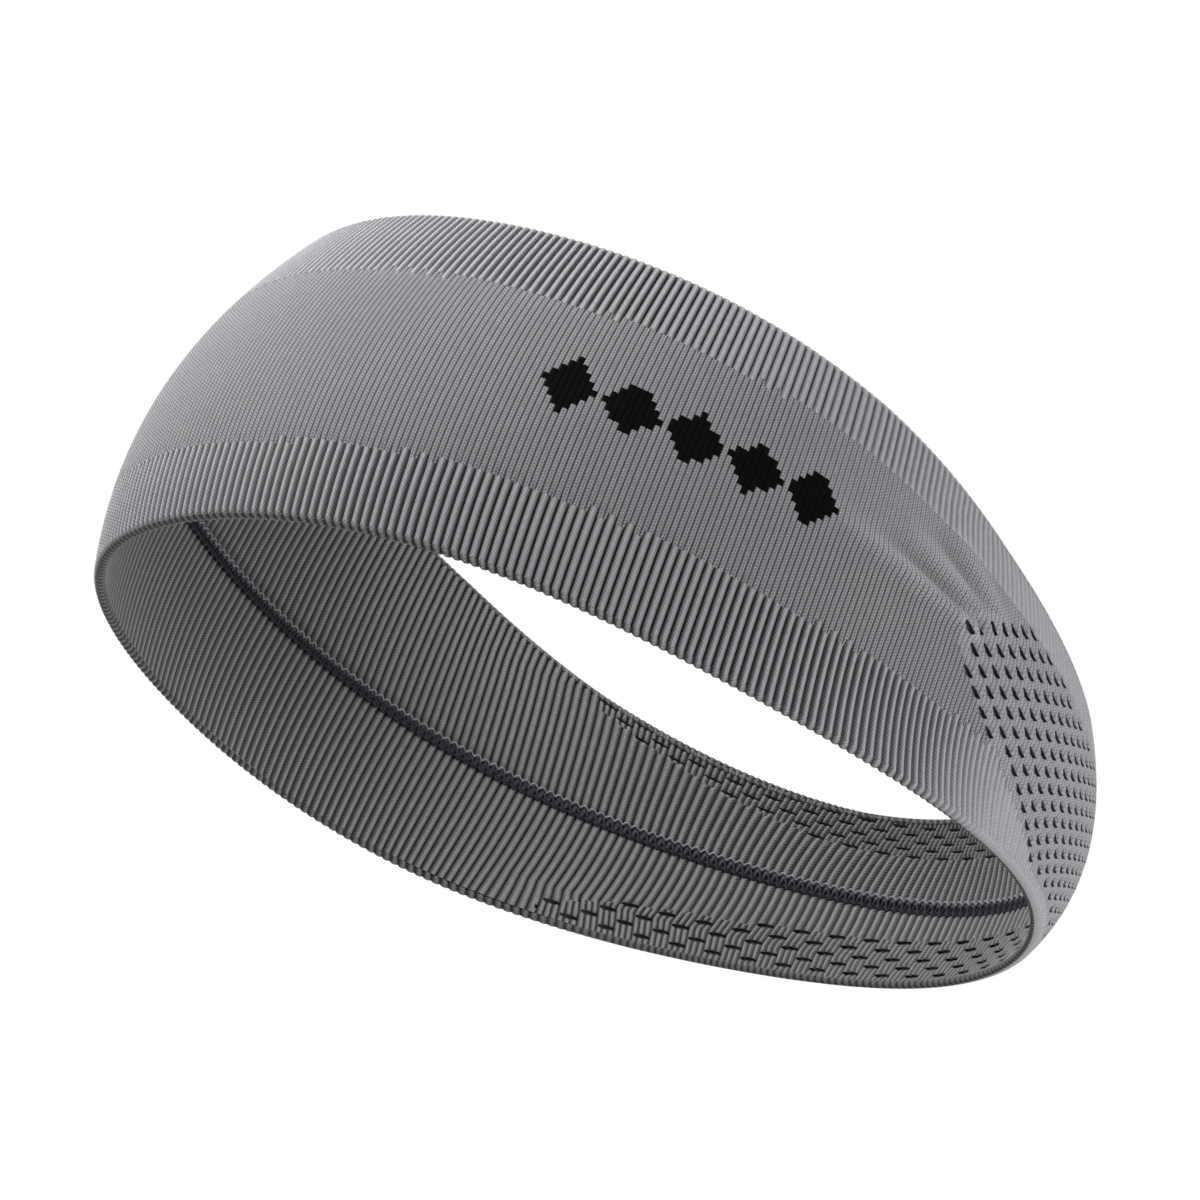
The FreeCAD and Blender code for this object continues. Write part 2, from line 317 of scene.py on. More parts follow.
class NodeWork:
    """Builds the nodes of a new material or world."""

    def __init__(self, owner):
        self.owner = owner
        owner.use_nodes = True
        self.tree = owner.node_tree
        self.tree.nodes.clear()

    def node(self, kind, settings, *inputs, output=0, **named):
        """Adds a node and gives an output: settings come first, then sockets by order or by name.

        A socket given as None keeps its own value.
        """
        made = self.tree.nodes.new(kind)
        for setting, value in settings.items():
            setattr(made, setting, value)
        for key, value in [*enumerate(inputs), *named.items()]:
            socket = made.inputs[key.replace("_", " ") if isinstance(key, str) else key]
            if isinstance(value, Value):
                self.tree.links.new(value.socket, socket)
            elif value is not None:
                socket.default_value = value
        return Value(self, made.outputs[output]) if made.outputs else None

    def mixed(self, factor, first, second):
        """Two colours mixed by a factor."""
        other_kinds = [None] * (MIX_COLOURS - 1)
        return self.node("ShaderNodeMix", {"data_type": "RGBA"}, factor, *other_kinds, first, second,
                         output=MIX_RESULT)

    def place(self):
        """The stitch position: ribs across, metres up, how ribbed the zone is, which sets the strength of
        the painted shade in the grooves, and the painted shade, below 0 a painted highlight.
        """
        where = self.node("ShaderNodeAttribute", {"attribute_name": "knit"}, output="Vector")
        shade = self.node("ShaderNodeAttribute", {"attribute_name": "knit"}, output="Alpha")
        axes = [self.node("ShaderNodeSeparateXYZ", {}, where, output=axis) for axis in ("X", "Y", "Z")]
        return *axes, shade

    def noise(self, scale, detail=2.0, roughness=0.5):
        """Noise in the band's own space, 0 to 1."""
        where = self.node("ShaderNodeTexCoord", {}, output="Object")
        return self.node("ShaderNodeTexNoise", {}, output="Fac", Vector=where, Scale=scale,
                         Detail=detail, Roughness=roughness)

    def finish(self, colour, roughness, height=None, bump=0.0, sheen=0.25, specular=0.25):
        """Ends in a cloth surface; height is in metres and bump is the strength of its relief."""
        given = {"Base_Color": colour, "Roughness": roughness, "Sheen_Weight": sheen,
                 "Sheen_Roughness": 0.5, "Specular_IOR_Level": specular}
        if height is not None:
            given["Normal"] = self.node("ShaderNodeBump", {}, output="Normal", Strength=bump,
                                        Distance=1.0, Height=height)
        surface = self.node("ShaderNodeBsdfPrincipled", {}, **given)
        self.node("ShaderNodeOutputMaterial", {}, Surface=surface)
        return self.owner


def rgba(colour, share=1.0):
    return (*(channel * share for channel in colour), 1.0)


RIB_COLUMNS = 6  # grid columns across one rib
WALE_COLUMNS = 4  # grid columns across one fine wale
FINE_WALES = RIB_COLUMNS / WALE_COLUMNS  # fine wales in a rib's width
COURSE = 0.62 * MM  # height of one stitch
STITCH_DEPTH = 0.12 * MM
FLECK_DEPTH = 0.04 * MM
STITCH_SLANT = 1.6  # how steeply a stitch's legs drop, in courses for a wale's width
CORD_SLANT = 2.2  # how many courses the yarn of a rib climbs across it
STITCH_RISE = (0.3, 1.0)  # how high the yarn stands, between two courses and on one; it also sets the painted shade between the courses
MELANGE_SCALE = 1100.0  # flecks of the mixed yarn
MELANGE_GRAIN = (3.0, 0.7)  # detail and roughness of their noise
CLOUD_SCALE = 28.0  # slow change of tone over the fabric
FLECK_TONES = (0.74, 1.26)  # darkest and lightest share of the yarn's colour
CLOUD_TONES = (0.94, 1.06)
WARMER = (1.01, 1.01, 0.97)  # tint of the lighter clouds
DEEPEST_SHADE = 0.015  # share of the yarn's colour left where the painted shade between the stitches and in the grooves is deepest
YARN_ROUGHNESS = (0.82, 0.94)
YARN_BUMP = 0.9  # strength of the bump
# fleck range of the dark core yarn, which is painted shade
CORE_SHADE_TONES = (0.6, 1.5)
CORE_ROUGHNESS = 0.95
PLY_TONES = (0.35, 1.0)  # painted shade between two plies of a thread, and the tone on one
PLY_TURNS = 9.0  # plies passed along one stitch
PLY_SIDES = 2.0  # and round the thread
PLY_DEPTH = 0.06 * MM
THREAD_SCALE = 1.4 * MELANGE_SCALE
THREAD_TONES = (0.6, 1.4)
# the light end of the painted ply shade, as a share of the thread's colour
THREAD_LIGHTEST = 1.25
THREAD_ROUGHNESS = (0.7, 0.9)
THREAD_BUMP = 0.8
THREAD_SHEEN = 0.15
MOTIF_TONES = (0.5, 1.5)
MOTIF_RANGE = (0.4, 1.8)  # its darkest and lightest tone, as shares of its colour, set by the flecks and by painted shade between the stitches
MOTIF_ROUGHNESS = (0.8, 0.95)


def stitch_fields(work, wales_per_rib):
    """How high the yarn stands in its stitch, how near a place is to a groove, and the place itself."""
    ribs, up, ribbed, shaded = work.place()
    wale = ribs * wales_per_rib % 1.0
    off_middle = abs(wale - 0.5)
    if wales_per_rib > 1:
        leg = abs((wale * (2 * math.pi)).sine()) ** 0.5
        slant = off_middle * STITCH_SLANT
    else:
        leg = 1.0
        slant = wale * CORD_SLANT
    course = abs(((up / COURSE + slant) * math.pi).sine())
    stitch = between(*STITCH_RISE, course) * leg
    return stitch, off_middle * 2.0, ribbed, shaded


def knit(name, yarn, wales_per_rib, groove_shade, groove_power, stitch_shade, plain_share=1.0):
    """Knitted yarn: mixed grey flecks, V-shaped stitches, and painted shade between the stitches and in the
    grooves between the wales.
    """
    work = NodeWork(bpy.data.materials.new(name))
    stitch, groove, ribbed, shaded = stitch_fields(work, wales_per_rib)
    flecks = work.noise(MELANGE_SCALE, *MELANGE_GRAIN)
    clouds = work.noise(CLOUD_SCALE)
    tone = between(*FLECK_TONES, flecks) * between(*CLOUD_TONES, clouds)
    # painted shade between the courses of the stitches
    stitch_shading = 1.0 - stitch_shade * (1.0 - stitch)
    # painted shade in the grooves between the wales, weaker where the fabric isn't ribbed
    depth = groove_shade * between(plain_share, 1.0, ribbed)
    groove_shading = 1.0 - depth * groove ** groove_power
    # all the painted shade, and the painted highlight on creases, over the flecks and clouds
    shade = (tone * stitch_shading * groove_shading * (1.0 - shaded)).clamped()
    warmer = [channel * share for channel, share in zip(yarn, WARMER)]
    colour = work.mixed(shade, rgba(yarn, DEEPEST_SHADE), work.mixed(clouds, rgba(yarn), rgba(warmer)))
    height = stitch * STITCH_DEPTH + flecks * FLECK_DEPTH
    return work.finish(colour, between(*YARN_ROUGHNESS, flecks), height, YARN_BUMP)


def core_shade_finish(name, colour):
    """Dark yarn between the two layers, seen through the slots: painted shade for the gap between the
    layers.
    """
    work = NodeWork(bpy.data.materials.new(name))
    tone = work.mixed(work.noise(MELANGE_SCALE), *(rgba(colour, share) for share in CORE_SHADE_TONES))
    return work.finish(tone, CORE_ROUGHNESS, sheen=0.0)


def thread_finish(name, colour, ply_shade_share):
    """Textured sewing thread with a ply twist and painted shade between the plies."""
    work = NodeWork(bpy.data.materials.new(name))
    stitch, side, _, _ = work.place()
    flecks = work.noise(THREAD_SCALE, *MELANGE_GRAIN)
    ply = abs(((stitch * PLY_TURNS + side * PLY_SIDES) * math.pi).sine())
    shade = (between(*PLY_TONES, ply) * between(*THREAD_TONES, flecks)).clamped()
    tone = work.mixed(shade, rgba(colour, ply_shade_share), rgba(colour, THREAD_LIGHTEST))
    return work.finish(tone, between(*THREAD_ROUGHNESS, flecks), ply * PLY_DEPTH, THREAD_BUMP,
                       sheen=THREAD_SHEEN)


def jacquard_finish(name, colour):
    """Black yarn of the motif, with painted shade between its stitches."""
    work = NodeWork(bpy.data.materials.new(name))
    stitch, _, _, _ = stitch_fields(work, FINE_WALES)
    flecks = work.noise(MELANGE_SCALE, *MELANGE_GRAIN)
    shade = (stitch * between(*MOTIF_TONES, flecks)).clamped()
    tone = work.mixed(shade, *(rgba(colour, share) for share in MOTIF_RANGE))
    return work.finish(tone, between(*MOTIF_ROUGHNESS, flecks), stitch * STITCH_DEPTH, YARN_BUMP,
                       sheen=0.0, specular=0.05)


# ---------------------------------------------------------------- fabric meshes
FRONT, BACK, EDGE = 0, 1, 2  # the three groups of faces in a sheet
EDGE_SEGMENTS_ROW = 400  # edge faces side by side in the bake map
MAP_GAP = 0.003  # clear strip between parts of the bake map
BOX_MARGIN = 0.1  # clear share of an edge face's box in it
TUBE_MARGIN = 0.02  # clear share on both sides of a tube's strip


class Sheet:
    """A closed thin fabric on a grid that runs all the way round: a front, a back and edges."""

    def __init__(self, front, back, places, outward=True, gauge=None):
        self.front = front
        self.back = back
        self.places = places
        self.outward = outward
        self.gauge = gauge  # wales in a rib's width, for each cell, where it isn't one
        self.rows, self.columns = front.shape[:2]

    def corners(self, cells):
        """Grid rows and columns of each kept cell's four corners, in order round the cell."""
        row, column = np.nonzero(cells)
        row_corners = np.stack([row, row, row + 1, row + 1], axis=1)
        column_corners = np.stack([column, column + 1, column + 1, column], axis=1)
        return row_corners, column_corners

    def edge_corners(self, cells):
        """Grid places of the two ends of every side where a kept cell meets no kept cell."""
        above = np.vstack([cells[1:], np.zeros_like(cells[:1])])
        below = np.vstack([np.zeros_like(cells[:1]), cells[:-1]])
        after = np.roll(cells, -1, axis=1)
        before = np.roll(cells, 1, axis=1)
        ends = []
        for beside, start, end in ((below, (0, 0), (0, 1)), (after, (0, 1), (1, 1)),
                                   (above, (1, 1), (1, 0)), (before, (1, 0), (0, 0))):
            row, column = np.nonzero(cells & ~beside)
            ends.append(np.stack([row + start[0], column + start[1],
                                  row + end[0], column + end[1]], axis=1))
        return np.concatenate(ends)

    def build(self, name, zone, materials, open_cells=None):
        """Makes the object from a zone's cells; in the open ones only the back is there."""
        size = self.rows * self.columns
        cells = zone if open_cells is None else zone & ~open_cells
        rows, columns = self.corners(cells)
        back_rows, back_columns = self.corners(zone)
        front_faces = self.point_index(rows, columns)
        back_faces = self.point_index(back_rows, back_columns)[:, ::-1] + size
        ends = self.edge_corners(cells)
        start = self.point_index(ends[:, 0], ends[:, 1])
        end = self.point_index(ends[:, 2], ends[:, 3])
        edge_faces = np.stack([end, start, start + size, end + size], axis=1)
        faces = np.concatenate([front_faces, back_faces, edge_faces])
        edge_rows = ends[:, [2, 0, 0, 2]]
        edge_columns = ends[:, [3, 1, 1, 3]]
        corner_rows = np.concatenate([rows, back_rows[:, ::-1], edge_rows])
        corner_columns = np.concatenate([columns, back_columns[:, ::-1], edge_columns])
        groups = np.repeat([FRONT, BACK, EDGE], [len(front_faces), len(back_faces), len(edge_faces)])
        places = self.place_values(corner_rows, corner_columns)
        if self.gauge is not None:
            places[:len(rows), :, 0] *= self.gauge[rows[:, :1], columns[:, :1]]
        chart = self.bake_map((rows, columns), (back_rows, back_columns), len(edge_faces))
        if not self.outward:
            faces, places, chart = faces[:, ::-1], places[:, ::-1], chart[:, ::-1]
        points = np.concatenate([self.front.reshape(-1, 3), self.back.reshape(-1, 3)])
        return mesh_object(name, points, faces, groups, places, chart, materials)

    def point_index(self, rows, columns):
        """The grid points' places in the list of points; the last column is followed by the first."""
        return rows * self.columns + columns % self.columns

    def place_values(self, rows, columns):
        """The stitch position at grid corners, without a jump where the grid closes."""
        values = self.places[rows, columns % self.columns].copy()
        values[columns >= self.columns, 0] += closing_jump(self.places[0, :, 0])
        return values

    def bake_map(self, front_corners, back_corners, edge_count):
        """The fabric's front in stacked strips, its back in one strip, its edges in small boxes."""
        rows, columns = front_corners
        low, high = back_corners[0].min(), back_corners[0].max()
        tall = np.linalg.norm(self.front[high, 0] - self.front[low, 0])
        strips = max(2, round(math.sqrt(GIRTH / tall)))
        share = 1.0 / (strips + 2)
        width = math.ceil(self.columns / strips)
        clear = 1 - 2 * MAP_GAP
        strip = np.minimum(columns.min(axis=1) // width, strips - 1)[:, None]
        u = MAP_GAP + clear * (columns - strip * width) / width
        v = (strip + MAP_GAP + clear * (rows - low) / (high - low)) * share
        front = np.stack([u, v], axis=-1)
        u = MAP_GAP + clear * back_corners[1] / self.columns
        v = (strips + MAP_GAP + clear * (back_corners[0] - low) / (high - low)) * share
        back = np.stack([u, v], axis=-1)[:, ::-1]
        index = np.arange(edge_count)
        lines = max(1, math.ceil(edge_count / EDGE_SEGMENTS_ROW))
        left = index % EDGE_SEGMENTS_ROW / EDGE_SEGMENTS_ROW
        bottom = (strips + 1 + index // EDGE_SEGMENTS_ROW / lines) * share
        near, far = BOX_MARGIN, 1 - BOX_MARGIN
        box = np.array([[near, near], [far, near], [far, far], [near, far]])
        step = np.array([1 / EDGE_SEGMENTS_ROW, share / lines])
        edges = np.stack([left, bottom], axis=-1)[:, None] + box * step
        return np.concatenate([front, back, edges])


def closing_jump(ribs):
    """What has to be added to a stitch position, in ribs, once it has gone all the way round."""
    return ribs[-1] - ribs[0] + ribs[1] - ribs[0]


def mesh_object(name, points, faces, groups, places, chart, materials):
    """A mesh of four-sided faces with a stitch position, a bake map and sharp edges between groups."""
    used, faces_used = np.unique(faces, return_inverse=True)
    faces_used = faces_used.reshape(faces.shape)
    mesh = bpy.data.meshes.new(name)
    mesh.vertices.add(len(used))
    mesh.vertices.foreach_set("co", points[used].astype(np.float32).ravel())
    mesh.loops.add(faces.size)
    mesh.loops.foreach_set("vertex_index", faces_used.astype(np.int32).ravel())
    mesh.polygons.add(len(faces))
    mesh.polygons.foreach_set("loop_start", np.arange(0, faces.size, 4, dtype=np.int32))
    mesh.polygons.foreach_set("material_index", (groups > FRONT).astype(np.int32) * (len(materials) - 1))
    mesh.update(calc_edges=True)
    knit_layer = mesh.attributes.new("knit", "FLOAT_COLOR", "CORNER")
    knit_layer.data.foreach_set("color", places.astype(np.float32).ravel())
    map_layer = mesh.uv_layers.new(name="OFBake")
    map_layer.uv.foreach_set("vector", chart.astype(np.float32).ravel())
    edge_of_corner = np.zeros(faces.size, dtype=np.int32)
    mesh.loops.foreach_get("edge_index", edge_of_corner)
    corner_groups = np.repeat(groups, 4)
    lowest = np.full(len(mesh.edges), EDGE + 1)
    highest = np.full(len(mesh.edges), FRONT - 1)
    np.minimum.at(lowest, edge_of_corner, corner_groups)
    np.maximum.at(highest, edge_of_corner, corner_groups)
    sharp = mesh.attributes.new("sharp_edge", "BOOLEAN", "EDGE")
    sharp.data.foreach_set("value", lowest != highest)
    mesh.validate()
    made = bpy.data.objects.new(name, mesh)
    bpy.context.scene.collection.objects.link(made)
    for material in materials:
        mesh.materials.append(material)
    return made


def place_on_frame(piece, node):
    """The piece rides with the band and stands for its CAD node, which it hides."""
    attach(piece, BODY)
    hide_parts(node)
    return piece


RIB_ROUNDNESS = 2.2  # 2 gives a parabola, and more a flatter top


def rib_profile(ribs):
    """A rib's height across, 0 in the valleys and 1 on top."""
    return 1 - np.abs(2 * (ribs % 1) - 1) ** RIB_ROUNDNESS


def wale_profile(ribs):
    """The fine zones' wales, 0 in the grooves and 1 on top."""
    return np.sqrt(np.abs(np.sin(np.pi * FINE_WALES * ribs)))


def corner_share(cells):
    """At each grid corner, the share of the cells round it that are kept."""
    padded = np.vstack([cells[:1], cells, cells[-1:]]).astype(float)
    level = (padded[1:] + padded[:-1]) / 2
    return (level + np.roll(level, 1, axis=1)) / 2


def rib_columns(ribs):
    """Places of the grid's columns, in ribs."""
    return np.arange(ribs * RIB_COLUMNS) / RIB_COLUMNS


def bricks(line, lines_per_course, columns, period):
    """How far each grid column is past the start of its brick, in a pattern staggered by half a brick."""
    stagger = (line // lines_per_course % 2) * (period // 2)
    return (np.arange(columns)[None, :] + stagger) % period


def moved_sides(low_side, high_side):
    """Moves of the grid's rows from those of every cell row's low and high sides."""
    none = np.zeros((1, low_side.shape[1]))
    return np.vstack([low_side, none]) + np.vstack([none, high_side])


OUTER_ROWS = 48
ROWS_PER_SLOT = 2  # grid rows from one line of vent slots to the next
SLOT_PERIOD = 4  # ribs from one vent slot to the next
SLOT_COLUMNS = 10  # grid columns that a vent slot is open over
SLOT_OPENING = 1.15  # how wide it is open in its middle, as a share of a row
SLOT_TILT = 0.78  # how far it drops from its front to its back end, in rows
SLOT_ARCH = 0.65  # below 1 it is wide almost to its ends
FAINTEST_WALE = 0.4  # share of the fine wales' relief where the fabric is smooth
CREASE_RUN_IN = 0.2  # a crease begins this share of its length before its start
CREASE_RUN_OUT = 0.1  # and ends this share of it past its end

LOWER_BAND = (13.5 * MM, 16.2 * MM, 9.0 * MM)  # widths at the forehead, the side and the back
UPPER_BAND = (16.5 * MM, 10.8 * MM, 6.5 * MM)
BAND_JAG = 0.35 * MM  # every other rib of a band ends this much later

VENT_CORNER = (25.5 * MM, 30.7 * MM)  # backwards and up, seen from the side
VENT_CREST = (44.0 * MM, 37.6 * MM)
VENT_WAIST = (43.5 * MM, 13.7 * MM)
VENT_HEEL = (70.0 * MM, 3.0 * MM)
VENT_SILL = 2.5 * MM

LEAN_TURN = math.radians(115)  # where the gathered wales lean the most
LEAN_SPREAD = math.radians(22)
LEAN_AMOUNT = math.radians(6)
LEAN_SHARE = 0.35  # the lean fades out at this share of the height


def gathered(turn):
    """How far the wales gather towards the back at the lower rim."""
    amount = LEAN_AMOUNT * np.exp(-((from_forehead(turn) - LEAN_TURN) / LEAN_SPREAD) ** 2)
    return np.where(turn > math.pi, -amount, amount)


def parabola_through(points, at):
    """The value at a place on the parabola through three (place, value) points."""
    total = 0
    for index, (place, value) in enumerate(points):
        term = value
        for other, (other_place, _) in enumerate(points):
            if other != index:
                term = term * (at - other_place) / (place - other_place)
        total = total + term
    return total


def vent_inside(backwards, height):
    """Whether a place seen from the side lies behind the vented panel's front edge and under its top."""
    edge = parabola_through([(VENT_HEEL[1], VENT_HEEL[0]), (VENT_WAIST[1], VENT_WAIST[0]),
                             (VENT_CORNER[1], VENT_CORNER[0])], height)
    slope = (VENT_CREST[1] - VENT_CORNER[1]) / (VENT_CREST[0] - VENT_CORNER[0])
    top = np.minimum(VENT_CORNER[1] + (backwards - VENT_CORNER[0]) * slope, VENT_CREST[1])
    behind = backwards > np.where(height < VENT_CORNER[1], edge, VENT_CORNER[0])
    return behind & (height < top)


# Creases that run into the vented panel's upper front corner: where each starts and ends, as a turn in
# degrees and a height above the lower rim in mm, and its share of the full rise, below 0 for a valley
CREASES = (
    ((89, 35.5), (106.5, 31.5), 1.0),
    ((98, 40.0), (109.5, 34.5), 0.9),
    ((104, 45.0), (111.5, 36.5), 0.7),
    ((95, 37.0), (107.8, 33.0), -0.75),
    ((101, 42.3), (110.5, 35.6), -0.6),
)
CREASE_WIDTH = 2.0 * MM
CREASE_SHADE = 0.75  # painted shade between two creases
CREASE_HIGHLIGHT = 0.45  # painted highlight on a crease's ridge
SLOT_SHADE = 0.3  # painted shade on the lips of a slot or slit
SMOOTH_TURNS = np.radians((78, 98))  # the panel gets smoother between these turns
SMOOTH_HEIGHTS = (30 * MM, 38 * MM)  # and these heights
UPPER_FADE = np.radians((60, 122))  # turns between which the ribs of a band flatten
LOWER_FADE = np.radians((108, 124))
BACK_RIB = 0.15  # the relief that they keep behind there


def crease_relief(turn, above):
    """The gathers beside the vented panel, on both sides: 1 on a full crease, -1 in a full valley."""
    along = girth_at(from_forehead(turn))
    relief = 0
    for (start_turn, start_up), (end_turn, end_up), share in CREASES:
        ends = girth_at(np.radians((start_turn, end_turn)))
        run = np.array([ends[1] - ends[0], (end_up - start_up) * MM])
        length = np.linalg.norm(run)
        run = run / length
        from_start = along - ends[0], above - start_up * MM
        progress = (from_start[0] * run[0] + from_start[1] * run[1]) / length
        progress = np.clip(progress, -CREASE_RUN_IN, 1 + CREASE_RUN_OUT)
        off = np.hypot(*(place - progress * length * part for place, part in zip(from_start, run)))
        fade = np.sin(np.clip(progress + CREASE_RUN_IN, 0, 1) * math.pi / 2)
        relief = relief + share * fade * np.exp(-(off / CREASE_WIDTH) ** 2)
    return relief


class OuterLayer:
    """The outer layer's grid, from one fold line to the other, and the cells of each zone."""

    def __init__(self, sizes, motif):
        self.sizes = sizes
        self.ribs = rib_columns(sizes.ribs)[None, :]
        share = np.linspace(0, 1, OUTER_ROWS + 1)[:, None]
        self.turn = self.leaned(turn_at(self.ribs / sizes.ribs), share)
        lower = LOWER_RIM.at(self.turn)
        upper = UPPER_RIM.at(self.turn)
        self.height = lower + FOLD_HEIGHT + (upper - lower - 2 * FOLD_HEIGHT) * share
        self.above = self.height - lower
        self.below = upper - self.height
        self.zones(motif)
        self.open_slots()
        self.shape()

    def leaned(self, start, share):
        """The turns of the wales, which gather towards the back near the lower rim."""
        return start + gathered(start) * np.clip(1 - share / LEAN_SHARE, 0, 1) ** 2

    def by_groups(self, field, size):
        """A grid field at the middle of each cell row and group of columns, over the group's cells."""
        middle = field[:, size // 2::size]
        return np.repeat((middle[1:] + middle[:-1]) / 2, size, axis=1)

    def zones(self, motif):
        outer_face = wall_point(self.turn, self.height, 0)
        turn, above, below, height, backwards = (
            self.by_groups(field, RIB_COLUMNS)
            for field in (self.turn, self.above, self.below, self.height, outer_face[..., 1]))
        jag = np.where(np.arange(turn.shape[1]) // RIB_COLUMNS % 2 == 0, 0, BAND_JAG)
        self.upper_rib = below < band_width(turn, *UPPER_BAND) + jag
        inside = vent_inside(backwards, height) & (above > VENT_SILL)
        self.vent = inside & ~self.upper_rib
        self.lower_rib = (above < band_width(turn, *LOWER_BAND) + jag) & ~self.vent
        panel = ~(self.upper_rib | self.vent | self.lower_rib)
        self.motif = panel & self.diamonds(motif)
        self.panel = panel & ~self.motif

    def diamonds(self, motif):
        """Cells of the stepped diamonds."""
        along = girth_at(self.by_groups(self.turn, WALE_COLUMNS)) - girth_at(motif.turn)
        up = self.by_groups(self.above, WALE_COLUMNS) - motif.height
        inside = np.zeros(along.shape, dtype=bool)
        for index in range(motif.count):
            centre = (index - (motif.count - 1) / 2) * motif.pitch
            across = np.abs(along - centre) / (motif.length / 2)
            inside |= across + np.abs(up) / (motif.rise / 2) < 1
        return inside

    def open_slots(self):
        """Opens the vent slots in a brick pattern and closes them towards their ends."""
        rows, columns = self.vent.shape
        line = np.arange(rows)[:, None]
        period = SLOT_PERIOD * RIB_COLUMNS
        phase = bricks(line, ROWS_PER_SLOT, columns, period)
        on_line = line % ROWS_PER_SLOT == 1
        first = (np.arange(columns)[None, :] - phase) % columns
        last = (first + SLOT_COLUMNS - 1) % columns
        starts, stops = (np.take_along_axis(self.vent, end, axis=1) for end in (first, last))
        whole = starts & stops
        self.slots = on_line & (phase < SLOT_COLUMNS) & whole
        on_slot = on_line & (phase <= SLOT_COLUMNS) & whole
        along = np.clip(phase / SLOT_COLUMNS, 0, 1)
        arch = np.sin(np.pi * along) ** SLOT_ARCH
        tall = self.height[1:] - self.height[:-1]
        opening = between(1 - self.sizes.slot_pinch, SLOT_OPENING, arch)
        close = np.where(on_slot, (1 - opening) / 2 * tall, 0)
        side = np.where(self.turn[:-1] > math.pi, -1, 1)
        tilt = np.where(on_slot, SLOT_TILT * (0.5 - along) * side * tall, 0)
        self.pinch = moved_sides(close + tilt, tilt - close)
        dip = np.where(on_slot, arch, 0)
        none = np.zeros((1, columns))
        self.dip = np.maximum(np.vstack([dip, none]), np.vstack([none, dip]))

    def shape(self):
        """Front and back points of the grid."""
        sizes = self.sizes
        ribbed = corner_share(self.upper_rib | self.lower_rib)
        strength = self.rib_strength()
        yarn = ribbed * strength * sizes.rib_relief * (rib_profile(self.ribs) - 1)
        fine = (1 - ribbed * strength) * between(FAINTEST_WALE, 1, self.wale_strength())
        yarn = yarn + fine * sizes.wale_relief * (wale_profile(self.ribs) - 1)
        crease = crease_relief(self.turn, self.above) * sizes.crease_rise
        height = self.height + self.pinch
        self.front = wall_point(self.turn, height, self.dip * sizes.slot_dip - yarn - crease)
        self.back = wall_point(self.turn, height, OUTER_LAYER - np.maximum(crease, 0))
        fold = crease / sizes.crease_rise
        # painted shade on the slot lips and between creases; below 0, a painted highlight on crease ridges
        shaded = self.dip * SLOT_SHADE - fold * np.where(fold > 0, CREASE_HIGHLIGHT, CREASE_SHADE)
        ribs = np.broadcast_to(self.ribs, self.turn.shape)
        # strength of the painted shade in the grooves, for the material
        groove_shading = ribbed * strength + (1 - ribbed) * self.wale_strength()
        self.places = np.stack([ribs, self.above, groove_shading, shaded], axis=-1)

    def wale_strength(self):
        """How clear the fine wales are: the fabric is stretched smooth above the creases."""
        smooth = np.interp(from_forehead(self.turn), SMOOTH_TURNS, (0, 1))
        return 1 - smooth * np.interp(self.above, SMOOTH_HEIGHTS, (0, 1))

    def rib_strength(self):
        """How pronounced the ribs are: they flatten out beside and behind the vented panel."""
        side_turn = from_forehead(self.turn)
        upper = np.interp(side_turn, UPPER_FADE, (1, BACK_RIB))
        lower = np.interp(side_turn, LOWER_FADE, (1, BACK_RIB))
        return np.where(self.above > self.below, upper, lower)

    def piece(self, name, zone, materials, open_cells=None):
        """One zone as an object of its own."""
        return Sheet(self.front, self.back, self.places).build(name, zone, materials, open_cells)


# ---------------------------------------------------------------- linings
# Rows of the tuck blocks, counted from a rim: two rows of stitches and a slit, over and over
LOWER_BLOCK_STEPS = (0.56 * MM, 0.56 * MM, 1.0 * MM)
UPPER_BLOCK_STEPS = (0.42 * MM, 0.42 * MM, 0.42 * MM)
BLOCK_LINES = 5
LINE_ROWS = 3
PLAIN_ROWS = 7
BLOCK_PERIOD = 4  # ribs from one slit to the next
BLOCK_WALES = 1.5  # small ribs of the blocks in a rib's width
SLIT_COLUMNS = 11  # grid columns that a slit is open over
# How far the blocks reach from the rim: turns from the forehead and reaches there
LOWER_BLOCK_TURNS = np.radians((111, 120, 130, 160))
LOWER_BLOCK_REACH = (3.0 * MM, 7.5 * MM, 9.3 * MM, 10.6 * MM)
UPPER_BLOCK_TURNS = np.radians((113, 130, 145, 160))
UPPER_BLOCK_REACH = (2.6 * MM, 5.0 * MM, 6.2 * MM, 6.4 * MM)
LOWER_LEAN = math.radians(3.5)  # how far the lining's ribs lean forwards at the lower rim
LOWER_BEND = (0, 0.68, 1)  # at the back they bend upright again in the tuck blocks
LOWER_BEND_SHARES = (0, 0.68, 0.1)
LOWER_BEND_TURNS = np.radians((107, 119))
UPPER_LEAN = math.radians(8.5)  # how far they lean backwards at the upper rim
UPPER_LEAN_TURN = math.radians(30)  # from the back, where they lean the most
UPPER_LEAN_FADE = 1.5  # above 1 they lean mostly near the rim


SLIT_PINCH = 0.5  # how far a slit closes at its ends, as a share
SLIT_DIP = 0.5 * MM  # how far its lips sink
SEAM_DIP = 0.35 * MM  # how far the lining sinks beside the seam
SEAM_PINCH = 1.6 * MM  # it sinks this close to the seam
SEAM_DROP = 0.4 * MM  # the middle of the sunk strip lies this far under the joint
SEAM_SHADE = 0.95  # painted shade in the sunk strip beside the seam
# deepest painted shade on the lining
DARKEST_SHADE = 0.95


